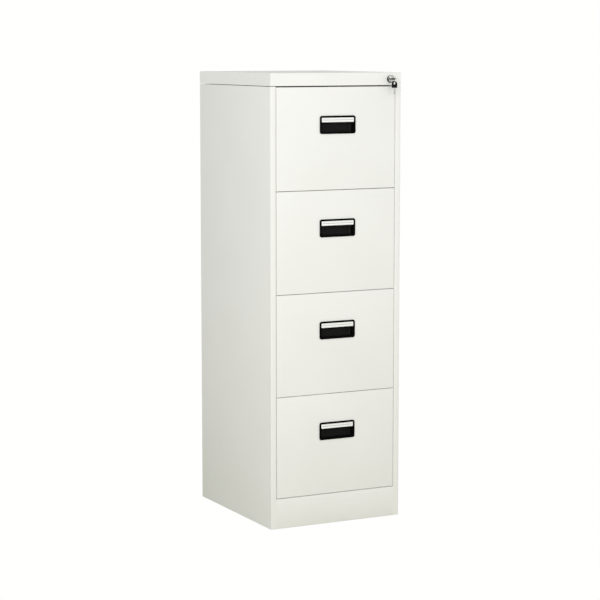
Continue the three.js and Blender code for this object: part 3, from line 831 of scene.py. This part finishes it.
def build_cages(materials):
    for number in DRAWERS:
        for side_name, side in SIDES.items():
            member = f"drawer_{number}_slide_mid_{side_name}"
            low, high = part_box(member)
            body = f"slide_mid_{number}"
            height = (low.z + high.z) / 2
            rear = high.y - CAGE_LENGTH - MM
            build_cage(f"{member}_cage_outer", body, side, OUTER_BALLS, rear, height, materials)
            build_cage(f"{member}_cage_inner", body, side, INNER_BALLS, low.y + MM, height, materials)


# ---- Rivets and bumpers ----

def build_studs(name, body, slot, profile, spots, direction, materials):
    """Turned heads that stand on spots along direction. profile lists (radius, height) in mm."""
    direction = Vector(direction)
    across = direction.orthogonal().normalized()
    up = direction.cross(across)
    steps = 24
    bm = bmesh.new()
    for spot in spots:
        rings = []
        for radius, height in profile:
            ring = []
            for i in range(steps):
                angle = 2 * math.pi * i / steps
                reach = (across * math.cos(angle) + up * math.sin(angle)) * radius * MM
                ring.append(Vector(spot) + reach + direction * height * MM)
            rings.append(ring)
        add_skin(bm, rings)
    studs = new_piece(name, finished_mesh(bm), materials[slot])
    smooth_by_angle(studs.data, 45)
    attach(studs, body)


def build_fasteners(materials):
    for number in DRAWERS:
        tray_low, tray_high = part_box(f"drawer_{number}_tray")
        inner_low, inner_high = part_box(f"drawer_{number}_slide_inner_left")
        slide_z = (inner_low.z + inner_high.z) / 2
        length = tray_high.y - tray_low.y
        for side_name, side in SIDES.items():
            wall = side * (-tray_low.x - SHEET)
            spots = [(wall, tray_low.y + length * part, slide_z) for part in SLIDE_RIVETS_ALONG]
            name = f"drawer_{number}_slide_rivets_{side_name}"
            build_studs(name, f"drawer_{number}", "zinc_steel", RIVET, spots, (-side, 0, 0), materials)
        wall = tray_low.y + SHEET
        heights = [tray_low.z + up * MM for up in FRONT_RIVETS_UP]
        spots = [(x * MM, wall, z) for x in FRONT_RIVETS_X for z in heights]
        name = f"drawer_{number}_front_rivets"
        build_studs(name, f"drawer_{number}", "zinc_steel", RIVET, spots, (0, 1, 0), materials)
    for number in DRAWERS[:-1]:
        low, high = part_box(f"cross_rail_{number}")
        seam = (low.z + high.z) / 2
        heights = [seam - BUMPER_FROM_SEAM * MM, seam + BUMPER_FROM_SEAM * MM]
        spots = [(x * MM, low.y, z) for x in (-BUMPER_X, BUMPER_X) for z in heights]
        name = f"cross_rail_{number}_bumpers"
        build_studs(name, "carcass", "black_plastic", BUMPER, spots, (0, -1, 0), materials)


# ---- Stage ----

def add_camera():
    camera = bpy.data.cameras.new("camera")
    camera.lens = CAMERA_LENS
    camera.sensor_width = 36
    camera.clip_end = 400
    eye = bpy.data.objects.new("camera", camera)
    eye.location = CAMERA_PLACE
    eye.rotation_euler = (math.radians(90 - CAMERA_TILT), 0, math.radians(-CAMERA_TURN))
    bpy.context.collection.objects.link(eye)
    bpy.context.scene.camera = eye


def add_light(name, place, target, size, power, colour=(1, 1, 1)):
    lamp = bpy.data.lights.new(name, "AREA")
    lamp.shape = "DISK"
    lamp.size = size
    lamp.energy = power
    lamp.color = colour
    light = bpy.data.objects.new(name, lamp)
    light.location = place
    light.rotation_euler = (Vector(target) - Vector(place)).to_track_quat("-Z", "Y").to_euler()
    bpy.context.collection.objects.link(light)


def seen_or_lit(tree, seen, lit, output):
    """Feeds output with the shader seen where the camera looks, and with lit for every other ray."""
    path = tree.nodes.new("ShaderNodeLightPath")
    mix = tree.nodes.new("ShaderNodeMixShader")
    tree.links.new(path.outputs["Is Camera Ray"], mix.inputs[0])
    tree.links.new(lit, mix.inputs[1])
    tree.links.new(seen, mix.inputs[2])
    tree.links.new(mix.outputs[0], output)


def add_world():
    """A plain white backdrop that lights the cabinet a little less than it shows."""
    world = bpy.data.worlds.new("studio")
    bpy.context.scene.world = world
    world.use_nodes = True
    tree = world.node_tree
    lit = tree.nodes["Background"]
    lit.inputs["Color"].default_value = (0.99, 1.0, 0.98, 1)
    lit.inputs["Strength"].default_value = WORLD_LIGHT
    seen = tree.nodes.new("ShaderNodeBackground")
    seen.inputs["Color"].default_value = (1, 1, 0.99, 1)
    seen.inputs["Strength"].default_value = 1.0
    seen_or_lit(tree, seen.outputs[0], lit.outputs[0], tree.nodes["World Output"].inputs["Surface"])


def add_floor():
    """A white floor in the picture, which lights the cabinet as a grey one with a bright surround."""
    half = FLOOR_HALF
    corners = ((-half, -half), (half, -half), (half, half), (-half, half))
    bm = bmesh.new()
    bm.faces.new([bm.verts.new((x, y, -FLOOR_DROP)) for x, y in corners])
    mesh = bpy.data.meshes.new("floor")
    bm.to_mesh(mesh)
    bm.free()
    material = bpy.data.materials.new("floor")
    material.use_nodes = True
    tree = material.node_tree
    shader = tree.nodes["Principled BSDF"]
    shader.inputs["Base Color"].default_value = (0.50, 0.505, 0.40, 1)
    shader.inputs["Roughness"].default_value = 0.9
    far = tree.nodes.new("ShaderNodeEmission")
    far.inputs["Color"].default_value = (1, 1, 0.98, 1)
    far.inputs["Strength"].default_value = WORLD_LIGHT
    place = tree.nodes.new("ShaderNodeTexCoord")
    away = tree.nodes.new("ShaderNodeVectorMath")
    away.operation = "LENGTH"
    spread = tree.nodes.new("ShaderNodeMapRange")
    spread.inputs["From Min"].default_value = FLOOR_DARK_RADIUS
    spread.inputs["From Max"].default_value = FLOOR_LIGHT_RADIUS
    fade = tree.nodes.new("ShaderNodeMixShader")
    tree.links.new(place.outputs["Object"], away.inputs[0])
    tree.links.new(away.outputs["Value"], spread.inputs["Value"])
    tree.links.new(spread.outputs["Result"], fade.inputs[0])
    tree.links.new(shader.outputs[0], fade.inputs[1])
    tree.links.new(far.outputs[0], fade.inputs[2])
    glow = tree.nodes.new("ShaderNodeEmission")
    glow.inputs["Color"].default_value = (1, 1, 0.99, 1)
    seen_or_lit(tree, glow.outputs[0], fade.outputs[0], tree.nodes["Material Output"].inputs["Surface"])
    floor = new_piece("floor", mesh, material)


def add_lights():
    add_light("key", place=(-2.1, -2.75, 1.5), target=(0, -0.2, 0.8), size=2.4, power=37)
    warm = (1, 0.985, 0.97)
    add_light("fill", place=(0.3, -3.6, 1.5), target=(0, -0.2, 0.7), size=2.0, power=17.5, colour=warm)


# ---- Assembly ----

bpy.context.scene.view_settings.view_transform = "Standard"
add_camera()
add_world()
add_floor()
add_lights()

MATERIALS = {
    "painted_steel": painted_steel(),
    "zinc_steel": zinc_steel(),
    "black_plastic": black_plastic(),
    "dull_black_plastic_painted_shade": dull_black_plastic_painted_shade(),
    "grey_print": grey_print(),
    "nickel": nickel(),
    "bright_chrome": bright_chrome(),
    "rim_chrome_painted_shade": rim_chrome_painted_shade(),
    "card": card(),
}
dress_cad_nodes(MATERIALS)
for drawer in DRAWERS:
    build_handle(drawer, MATERIALS)
    build_label_rule(drawer, MATERIALS["grey_print"])
build_plinth_welds(MATERIALS["painted_steel"])
build_key_in_lock(MATERIALS)
build_spare_key(MATERIALS)
build_split_ring(MATERIALS["bright_chrome"])
build_lock_housing(MATERIALS)
build_lock_plug(MATERIALS)
build_cages(MATERIALS)
build_fasteners(MATERIALS)
